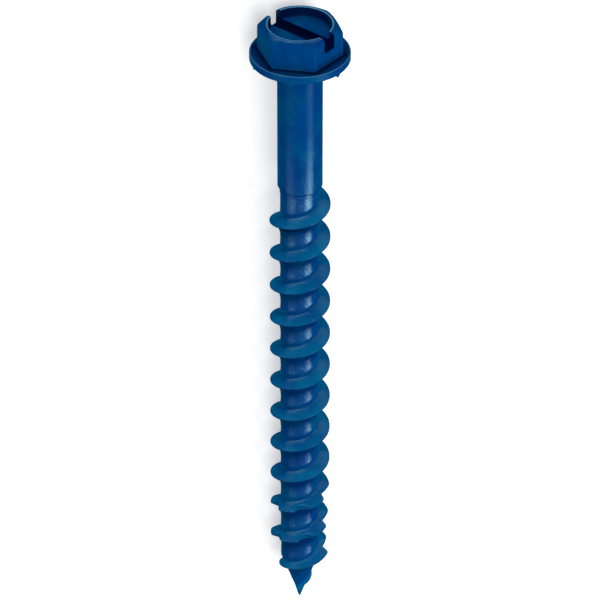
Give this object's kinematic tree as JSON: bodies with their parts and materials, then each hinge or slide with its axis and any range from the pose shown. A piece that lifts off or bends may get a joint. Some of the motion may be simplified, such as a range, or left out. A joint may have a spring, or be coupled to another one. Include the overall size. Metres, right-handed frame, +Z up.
{
  "type": "concrete screw",
  "caption": "Blue-coated screw for concrete and masonry: slotted hex washer head with locking nibs, plain shank, coarse thread with a notched end and a sharp point.",
  "frame": {"origin": "on the surface that the screw lies on, under the middle of its overall length", "axes": "+X from the head to the point, seen from above; +Z up; the screw's own axis dips 1.8 degrees towards the point, because it rests on the washer's rim and a thread crest, and the slot stands at 56 degrees to the surface"},
  "size_m": [0.074, 0.0104, 0.0105],
  "materials": {
    "blue_coat": "semi-gloss blue corrosion coat over zinc-plated steel"
  },
  "bodies": {
    "root": {"concrete_screw": "blue_coat"}
  },
  "joints": []
}
